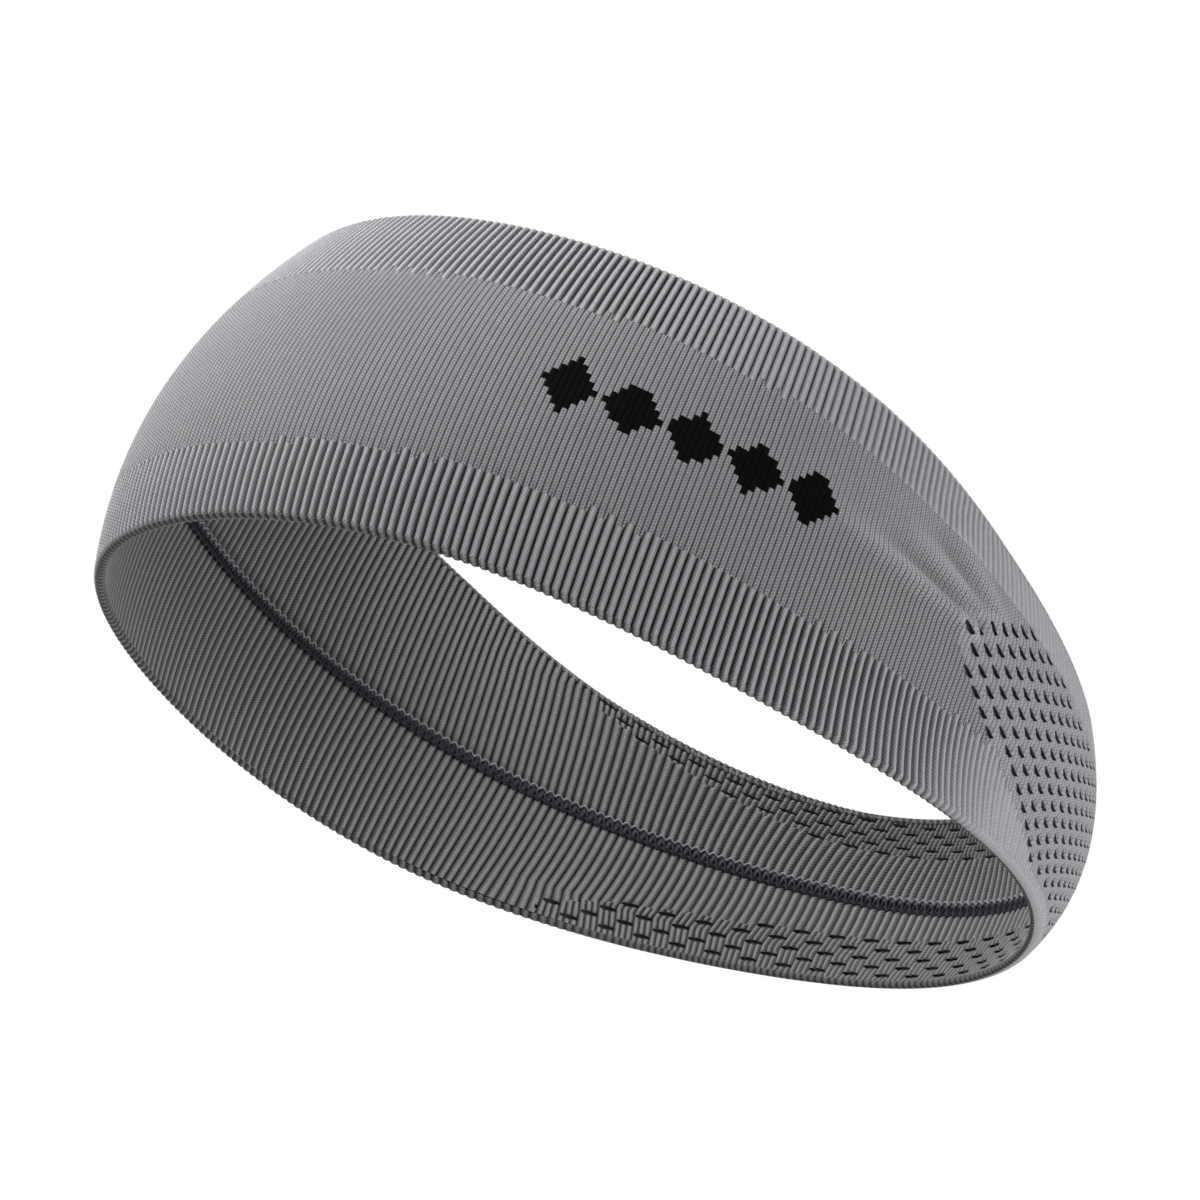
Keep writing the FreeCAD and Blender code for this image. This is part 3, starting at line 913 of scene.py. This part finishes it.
class Lining:
    """One half of the inner layer, between a fold line and the seam."""

    def __init__(self, sizes, seam, is_upper):
        self.sizes = sizes
        self.is_upper = is_upper
        self.ribs = rib_columns(sizes.lining_ribs)[None, :]
        start = turn_at(self.ribs / sizes.lining_ribs)
        steps = np.tile(UPPER_BLOCK_STEPS if is_upper else LOWER_BLOCK_STEPS, BLOCK_LINES)
        fine = np.concatenate(([0], np.cumsum(steps)))[:, None]
        self.fine_rows = len(steps)
        lower, upper = LOWER_RIM.at(start), UPPER_RIM.at(start)
        joint = lower + band_width(start, seam.front, seam.side, seam.back)
        rim, way = (upper, -1) if is_upper else (lower, 1)
        far = (joint - rim) * way - FOLD_HEIGHT
        plain = np.linspace(0, 1, PLAIN_ROWS + 1)[1:, None]
        distance = np.vstack([fine + 0 * start, fine[-1] + (far - fine[-1]) * plain])
        if is_upper:
            distance = distance[::-1]
        self.distance = distance
        self.height = rim + way * (FOLD_HEIGHT + distance)
        self.turn = start + self.lean(start, (self.height - joint) / (rim - joint))
        self.joint_distance = self.height - joint
        self.blocks()
        self.shape()

    def lean(self, start, share):
        """How far the ribs lean out of the upright; share is 0 at the seam and 1 at the rim."""
        if not self.is_upper:
            bent = np.interp(share, LOWER_BEND, LOWER_BEND_SHARES)
            back = np.interp(from_forehead(start), LOWER_BEND_TURNS, (0, 1))
            return -LOWER_LEAN * np.sin(start) * (share + (bent - share) * back)
        from_back = (math.pi - start) / UPPER_LEAN_TURN
        gather = from_back * np.exp((1 - from_back ** 2) / 2)
        return UPPER_LEAN * gather * np.clip(share, 0, 1) ** UPPER_LEAN_FADE

    def blocks(self):
        """Opens the slits of the tuck blocks at the back."""
        rows, columns = self.height.shape
        line = np.arange(rows - 1)[:, None]
        if self.is_upper:
            line = rows - 2 - line
        period = BLOCK_PERIOD * RIB_COLUMNS
        phase = bricks(line, LINE_ROWS, columns, period)
        side_turn = from_forehead(self.turn)[:-1]
        turns, reaches = ((UPPER_BLOCK_TURNS, UPPER_BLOCK_REACH) if self.is_upper
                          else (LOWER_BLOCK_TURNS, LOWER_BLOCK_REACH))
        reach = np.interp(side_turn, turns, reaches)
        distance = np.minimum(self.distance[:-1], self.distance[1:])
        self.blocked = (side_turn > turns[0]) & (distance < reach) & (line < self.fine_rows)
        on_line = self.blocked & (line % LINE_ROWS == LINE_ROWS - 1)
        self.slits = on_line & (phase < SLIT_COLUMNS)
        arch = np.sin(np.pi * np.clip(phase / SLIT_COLUMNS, 0, 1))
        tall = self.height[1:] - self.height[:-1]
        close = np.where(on_line & (phase <= SLIT_COLUMNS), SLIT_PINCH * (1 - arch) / 2 * tall, 0)
        self.pinch = moved_sides(close, -close)

    def shape(self):
        sizes = self.sizes
        in_blocks = corner_share(self.blocked)
        slit_side = corner_share(self.slits)
        small_ribs = rib_profile(self.ribs * BLOCK_WALES)
        ribbed = (1 - in_blocks) * rib_profile(self.ribs) + in_blocks * small_ribs
        relief = sizes.lining_relief * (ribbed - 1) - slit_side * SLIT_DIP
        sunk = np.exp(-((self.joint_distance + SEAM_DROP) / SEAM_PINCH) ** 2)
        height = self.height + self.pinch
        self.front = wall_point(self.turn, height, WALL + relief - sunk * SEAM_DIP)
        self.back = wall_point(self.turn, height, OUTER_LAYER + LAYER_GAP)
        ribs = np.broadcast_to(self.ribs, self.turn.shape)
        above = self.height - LOWER_RIM.at(self.turn)
        # painted shade beside the seam and on the slits' lips
        shaded = np.clip(sunk ** 3 * SEAM_SHADE + slit_side * SLOT_SHADE, 0, DARKEST_SHADE)
        self.places = np.stack([ribs, above, np.ones_like(above), shaded], axis=-1)

    def piece(self, name, materials):
        """The whole lining, with its slits open, as an object."""
        gauge = np.where(self.blocked, BLOCK_WALES, 1.0)
        sheet = Sheet(self.front, self.back, self.places, outward=False, gauge=gauge)
        return sheet.build(name, np.ones_like(self.slits), materials, open_cells=self.slits)


# ---------------------------------------------------------------- turned edges and threads
EDGE_POINTS = 8  # points round the visible half of a turned edge
INNER_POINTS = 3  # from this point on it shows the lining's yarn
EDGE_RELIEF = 0.35 * MM
EDGE_BACK_RIB = 0.0  # share of the relief that is left at the back
EDGE_SHADE = 0.4  # painted shade that grows towards the inside
EDGE_TWIST = 0.5  # ribs that a valley shifts from the outer to the inner face


def closed_tube(name, rings, places, materials, flip=False, inner_from=None):
    """A mesh from rings of points, closed both ways; from one side on it takes the second material."""
    count, sides = rings.shape[:2]
    row, column = np.meshgrid(np.arange(count), np.arange(sides), indexing="ij")
    row, column = row.ravel(), column.ravel()
    rows = np.stack([row, row + 1, row + 1, row], axis=1)
    columns = np.stack([column, column, column + 1, column + 1], axis=1)
    faces = rows % count * sides + columns % sides
    values = places[rows % count, columns % sides].copy()
    values[rows >= count, 0] += closing_jump(places[:, 0, 0])
    strips = max(2, round(math.sqrt(count / sides / 2)))
    width = math.ceil(count / strips)
    strip = row // width
    clear = 1 - 2 * MAP_GAP
    u = MAP_GAP + clear * (rows - (strip * width)[:, None]) / width
    v = (strip[:, None] + TUBE_MARGIN + (1 - 2 * TUBE_MARGIN) * columns / sides) / strips
    chart = np.stack([u, v], axis=-1)
    if flip:
        faces, values, chart = faces[:, ::-1], values[:, ::-1], chart[:, ::-1]
    groups = np.where(column >= (inner_from or sides), BACK, FRONT)
    return mesh_object(name, rings.reshape(-1, 3), faces, groups, values, chart, materials)


def turned_edge(name, sizes, is_upper, materials):
    """The fabric's turn from the outer to the inner layer, with the ribs running over it."""
    ribs = rib_columns(sizes.ribs)[:, None]
    angle = np.linspace(0, math.pi, EDGE_POINTS)[None, :]
    way = 1 if is_upper else -1
    turned = ribs + EDGE_TWIST * angle / math.pi * way
    turn = turn_at(ribs / sizes.ribs)
    if not is_upper:
        turn = turn + gathered(turn)
    deepest = sizes.rib_relief + (sizes.lining_relief - sizes.rib_relief) * angle / math.pi
    depth = deepest + (EDGE_RELIEF - deepest) * np.sin(angle)
    fade = UPPER_FADE if is_upper else LOWER_FADE
    strength = np.interp(from_forehead(turn), fade, (1, EDGE_BACK_RIB))
    relief = depth * strength * (rib_profile(turned) - 1)
    half = WALL / 2
    inset = half - (half + relief) * np.cos(angle)
    stand = (FOLD_HEIGHT + relief) * np.sin(angle)
    rim = UPPER_RIM.at(turn) if is_upper else LOWER_RIM.at(turn)
    height = rim - way * FOLD_HEIGHT + way * stand
    rings = wall_point(np.broadcast_to(turn, height.shape), height, inset)
    above = np.broadcast_to(angle * half, height.shape)
    # painted shade, darker towards the inside of the fold
    shaded = EDGE_SHADE * np.sin(angle / 2) ** 2 + 0 * height
    places = np.stack([turned, above, strength + 0 * height, shaded], axis=-1)
    return closed_tube(name, rings, places, materials, flip=is_upper, inner_from=INNER_POINTS)


THREAD_SIDES = 6
THREAD_STEPS = 10  # points of a thread along one stitch
THREAD_SINK = 0.05 * MM  # how deep a thread's level lies in the lining
# How the threads move in a stitch: RISE is up from the joint, STAND is off the lining, each as a level
# and how far the thread goes from it; a loop and the lower row take their level from the row spacing
LOOP_RISE = 0.6 * MM
LOOP_STAND = (-0.2 * MM, 0.36 * MM)
ZIGZAG_RISE = (-0.5 * MM, 0.85 * MM)
ZIGZAG_STAND = (0, 0.12 * MM)
ROW_RISE = 0.3 * MM
ROW_STAND = (-0.05 * MM, 0.15 * MM)


def hump(angle):
    """Half waves one after the other, 0 to 1."""
    return np.abs(np.sin(angle / 2))


def sway(level, reach, shape, waves=1):
    """How a thread moves in a stitch: its level, how far it goes from it, and the waves in a stitch."""
    return lambda stitch: level + reach * shape(waves * 2 * math.pi * stitch)


def seam_thread(name, sizes, seam, rise_at, stand_at, material):
    """A thread that runs round the seam; rise and stand are given for each place in a stitch."""
    steps = sizes.lining_ribs * THREAD_STEPS
    stitch = np.arange(steps) / THREAD_STEPS
    turn = turn_at(stitch / (steps / THREAD_STEPS))
    level = LOWER_RIM.at(turn) + band_width(turn, seam.front, seam.side, seam.back)
    middle = wall_point(turn, level + rise_at(stitch), WALL - THREAD_SINK + stand_at(stitch))
    along = np.roll(middle, -1, axis=0) - np.roll(middle, 1, axis=0)
    along /= np.linalg.norm(along, axis=1, keepdims=True)
    inward = np.stack([-np.sin(turn), np.cos(turn), np.zeros_like(turn)], axis=1)
    beside = np.cross(along, inward)
    beside /= np.linalg.norm(beside, axis=1, keepdims=True)
    inward = np.cross(beside, along)
    around = np.arange(THREAD_SIDES) * 2 * math.pi / THREAD_SIDES
    ring = np.stack([np.cos(around), np.sin(around)]) * seam.thread
    rings = middle[:, None] + ring[0, :, None] * inward[:, None] + ring[1, :, None] * beside[:, None]
    places = np.zeros((*rings.shape[:2], 4))
    places[..., 0] = stitch[:, None]
    places[..., 1] = np.arange(THREAD_SIDES)[None, :] / THREAD_SIDES
    return closed_tube(name, rings, places, [material], flip=True)


def shared(name, make, *looks, **details):
    """A material made once and then used by more than one piece."""
    return bpy.data.materials.get(name) or make(name, *looks, **details)


def ribbed_yarn(colours):
    return shared("ribbed grey yarn", knit, colours.outer, wales_per_rib=1.0, groove_shade=0.98,
                  groove_power=1.05, stitch_shade=0.42, plain_share=0.15)


def core_shade_yarn(colours):
    return shared("shaded core yarn", core_shade_finish, colours.core)


class HEADBAND_OT_outer_bands(bpy.types.Operator):
    """Knits the two ribbed bands along the rims"""

    bl_idname = "headband.outer_bands"
    bl_label = "Ribbed bands"

    def execute(self, context):
        scene = context.scene
        layer = OuterLayer(scene.knit_sizes, scene.motif_sizes)
        materials = [ribbed_yarn(scene.yarn_colours), core_shade_yarn(scene.yarn_colours)]
        upper = layer.piece("ribbed_upper_band", layer.upper_rib, materials)
        lower = layer.piece("ribbed_lower_band", layer.lower_rib, materials)
        place_on_frame(upper, "outer_upper_rib")
        place_on_frame(lower, "outer_lower_rib")
        return {"FINISHED"}


class HEADBAND_OT_front_panel(bpy.types.Operator):
    """Knits the fine panel over the forehead and sides, with its row of diamonds"""

    bl_idname = "headband.front_panel"
    bl_label = "Front panel and motif"

    def execute(self, context):
        scene = context.scene
        colours = scene.yarn_colours
        layer = OuterLayer(scene.knit_sizes, scene.motif_sizes)
        core = core_shade_yarn(colours)
        fine = knit("fine grey yarn", colours.outer, FINE_WALES, groove_shade=0.74, groove_power=1.5,
                    stitch_shade=0.9, plain_share=0.35)
        black = jacquard_finish("black jacquard yarn", colours.motif)
        panel = layer.piece("knit_front_panel", layer.panel, [fine, core])
        motif = layer.piece("jacquard_diamonds", layer.motif, [black, core])
        place_on_frame(panel, "outer_front_panel")
        place_on_frame(motif, "knitted_motif")
        return {"FINISHED"}


class HEADBAND_OT_vented_panel(bpy.types.Operator):
    """Knits the panel with open slots at the back"""

    bl_idname = "headband.vented_panel"
    bl_label = "Vented panel"

    def execute(self, context):
        scene = context.scene
        colours = scene.yarn_colours
        layer = OuterLayer(scene.knit_sizes, scene.motif_sizes)
        airy = knit("vented grey yarn", colours.outer, FINE_WALES, groove_shade=0.45, groove_power=1.6,
                    stitch_shade=0.6)
        piece = layer.piece("knit_vented_panel", layer.vent, [airy, core_shade_yarn(colours)], layer.slots)
        place_on_frame(piece, "outer_mesh_panel")
        return {"FINISHED"}


class HEADBAND_OT_linings(bpy.types.Operator):
    """Knits the ribbed inner layer above and below the seam, and the turned edges"""

    bl_idname = "headband.linings"
    bl_label = "Linings and turned edges"

    def execute(self, context):
        scene = context.scene
        sizes = scene.knit_sizes
        colours = scene.yarn_colours
        yarn = knit("lining yarn", colours.lining, wales_per_rib=1.0, groove_shade=0.98,
                    groove_power=1.1, stitch_shade=0.4)
        core = core_shade_yarn(colours)
        for is_upper, side in ((True, "upper"), (False, "lower")):
            lining = Lining(sizes, scene.seam_sizes, is_upper)
            piece = lining.piece(f"lining_{side}", [yarn, core])
            place_on_frame(piece, f"inner_{side}_lining")
            edge = turned_edge(f"turned_{side}_edge", sizes, is_upper, [ribbed_yarn(colours), yarn])
            place_on_frame(edge, f"{side}_edge_fold")
        return {"FINISHED"}


class HEADBAND_OT_seam(bpy.types.Operator):
    """Sews the three threads of the flat seam"""

    bl_idname = "headband.seam"
    bl_label = "Seam threads"

    def execute(self, context):
        scene = context.scene
        seam = scene.seam_sizes
        sizes = scene.knit_sizes
        colours = scene.yarn_colours
        pale = thread_finish("pale needle thread", colours.loops, ply_shade_share=0.35)
        dark = thread_finish("violet cover thread", colours.cover, ply_shade_share=0.25)
        half = seam.row_spacing / 2
        upper = seam_thread("needle_thread_upper", sizes, seam, sway(half - LOOP_RISE, LOOP_RISE, hump),
                            sway(*LOOP_STAND, hump), pale)
        cover = seam_thread("cover_thread", sizes, seam, sway(*ZIGZAG_RISE, np.sin),
                            sway(*ZIGZAG_STAND, np.cos, waves=2), dark)
        lower = seam_thread("needle_thread_lower", sizes, seam, sway(-half, ROW_RISE, np.sin),
                            sway(*ROW_STAND, np.cos), dark)
        place_on_frame(upper, "seam_upper_thread")
        place_on_frame(cover, "seam_cover_thread")
        place_on_frame(lower, "seam_lower_thread")
        return {"FINISHED"}


FLOOR_DROP = 1.2  # the floor lies this far below the band
FLOOR_SIZE = 6.0
FADE_START = 1.2  # distances from the floor's middle between which it fades out
FADE_END = 2.8
BELOW_SHARE = 0.65  # the surroundings' brightness straight down and straight up
ABOVE_SHARE = 1.35
FLOOR_GRAIN = 60.0
FLOOR_TONES = (0.46, 0.50)
FLOOR_GLOW = 0.52
# Each light's power among the stage's sizes, with its name, direction from the band, distance and width
LIGHTS = {
    "key": ("forehead_light", (0.20, -1.0, 0.80), 0.5, 0.25),
    "back": ("nape_light", (0.74, 0.78, -0.15), 1.4, 0.7),
    "far": ("far_side_light", (-0.95, -0.15, 0.30), 1.4, 0.9),
}


def grey(tone):
    return tone, tone, tone, 1.0


def stage_floor():
    """A pale floor whose rim fades into the white round it."""
    half = FLOOR_SIZE / 2
    mesh = bpy.data.meshes.new("floor")
    mesh.from_pydata([(-half, -half, -FLOOR_DROP), (half, -half, -FLOOR_DROP),
                      (half, half, -FLOOR_DROP), (-half, half, -FLOOR_DROP)], [], [(0, 1, 2, 3)])
    floor = bpy.data.objects.new("floor", mesh)
    bpy.context.scene.collection.objects.link(floor)
    mesh.materials.append(floor_finish())


def floor_finish():
    """Matt paint that looks pale, reflects little on to the band and fades out towards the rim."""
    work = NodeWork(bpy.data.materials.new("pale floor"))
    grain = work.mixed(work.noise(FLOOR_GRAIN), *(grey(tone) for tone in FLOOR_TONES))
    paint = work.node("ShaderNodeBsdfPrincipled", {}, Roughness=0.9, Base_Color=grain)
    glow = work.node("ShaderNodeEmission", {}, Color=grey(FLOOR_GLOW))
    lit = work.node("ShaderNodeAddShader", {}, paint, glow)
    clear = work.node("ShaderNodeBsdfTransparent", {})
    where = work.node("ShaderNodeTexCoord", {}, output="Object")
    away = work.node("ShaderNodeVectorMath", {"operation": "LENGTH"}, where, output="Value")
    faded = ((away - FADE_START) / (FADE_END - FADE_START)).clamped()
    seen = work.node("ShaderNodeMixShader", {}, faded, lit, clear)
    eye = work.node("ShaderNodeLightPath", {}, output="Is Camera Ray")
    surface = work.node("ShaderNodeMixShader", {}, eye, paint, seen)
    work.node("ShaderNodeOutputMaterial", {}, Surface=surface)
    return work.owner


def stage_light(name, direction, distance, size, power):
    """A square soft light that faces the band."""
    data = bpy.data.lights.new(name, "AREA")
    data.shape = "SQUARE"
    data.size = size
    data.energy = power
    light = bpy.data.objects.new(name, data)
    towards = Vector(direction).normalized()
    light.location = towards * distance
    light.rotation_mode = "QUATERNION"
    light.rotation_quaternion = towards.to_track_quat("Z", "Y")
    light.visible_camera = False
    bpy.context.scene.collection.objects.link(light)


def stage_world(ambient):
    """White seen by the camera, with a softer light from all round."""
    work = NodeWork(bpy.data.worlds.new("studio"))
    where = work.node("ShaderNodeTexCoord", {}, output="Generated")
    up = work.node("ShaderNodeSeparateXYZ", {}, where, output="Z")
    brightness = work.node("ShaderNodeMapRange", {}, up, From_Min=-1.0, To_Min=ambient * BELOW_SHARE,
                           To_Max=ambient * ABOVE_SHARE)
    surround = work.node("ShaderNodeBackground", {}, grey(1.0), brightness)
    paper = work.node("ShaderNodeBackground", {}, grey(1.0), 1.0)
    eye = work.node("ShaderNodeLightPath", {}, output="Is Camera Ray")
    seen = work.node("ShaderNodeMixShader", {}, eye, surround, paper)
    work.node("ShaderNodeOutputWorld", {}, Surface=seen)
    bpy.context.scene.world = work.owner


def stage_camera(stage):
    """A long lens below the band on the wearer's left, rolled to one side."""
    data = bpy.data.cameras.new("camera")
    data.lens = stage.lens
    camera = bpy.data.objects.new("camera", data)
    level = math.cos(stage.elevation)
    back = Vector((math.sin(stage.azimuth) * level, -math.cos(stage.azimuth) * level,
                   math.sin(stage.elevation)))
    right = Vector((math.cos(stage.azimuth), math.sin(stage.azimuth), 0))
    up = back.cross(right)
    cosine, sine = math.cos(stage.roll), math.sin(stage.roll)
    axes = Matrix((right * cosine + up * sine, up * cosine - right * sine, back)).transposed()
    camera.matrix_world = Matrix.Translation(Vector(stage.aim) + back * stage.distance) @ axes.to_4x4()
    bpy.context.scene.collection.objects.link(camera)
    bpy.context.scene.camera = camera


class HEADBAND_OT_stage(bpy.types.Operator):
    """Sets out the floor, lights, surroundings and camera"""

    bl_idname = "headband.stage"
    bl_label = "Stage"

    def execute(self, context):
        stage = context.scene.stage_sizes
        stage_floor()
        for power, light in LIGHTS.items():
            stage_light(*light, getattr(stage, power))
        stage_world(stage.ambient)
        stage_camera(stage)
        context.scene.view_settings.view_transform = "Standard"
        return {"FINISHED"}


class HEADBAND_PT_pieces(bpy.types.Panel):
    """Lists the headband's pieces and their sizes"""

    bl_idname = "HEADBAND_PT_pieces"
    bl_label = "Headband"
    bl_space_type = "VIEW_3D"
    bl_region_type = "UI"
    bl_category = "Headband"

    def draw(self, context):
        layout = self.layout
        for settings in SETTINGS:
            group = getattr(context.scene, settings)
            box = layout.box()
            box.label(text=settings.replace("_", " ").capitalize())
            for name in group.bl_rna.properties.keys():
                if name not in {"rna_type", "name"}:
                    box.prop(group, name)
        for operator in OPERATORS:
            layout.operator(operator.bl_idname)


SETTINGS = {"knit_sizes": KnitSizes, "seam_sizes": SeamSizes, "motif_sizes": MotifSizes,
            "yarn_colours": YarnColours, "stage_sizes": StageSizes}
OPERATORS = (HEADBAND_OT_outer_bands, HEADBAND_OT_front_panel, HEADBAND_OT_vented_panel,
             HEADBAND_OT_linings, HEADBAND_OT_seam, HEADBAND_OT_stage)
CLASSES = (*SETTINGS.values(), *OPERATORS, HEADBAND_PT_pieces)


def register():
    for item in CLASSES:
        bpy.utils.register_class(item)
    for name, group in SETTINGS.items():
        setattr(bpy.types.Scene, name, PointerProperty(type=group))


def unregister():
    for name in SETTINGS:
        delattr(bpy.types.Scene, name)
    for item in reversed(CLASSES):
        bpy.utils.unregister_class(item)


def main():
    register()
    for operator in OPERATORS:
        getattr(bpy.ops.headband, operator.bl_idname.split(".")[1])()


if __name__ == "__main__":
    main()
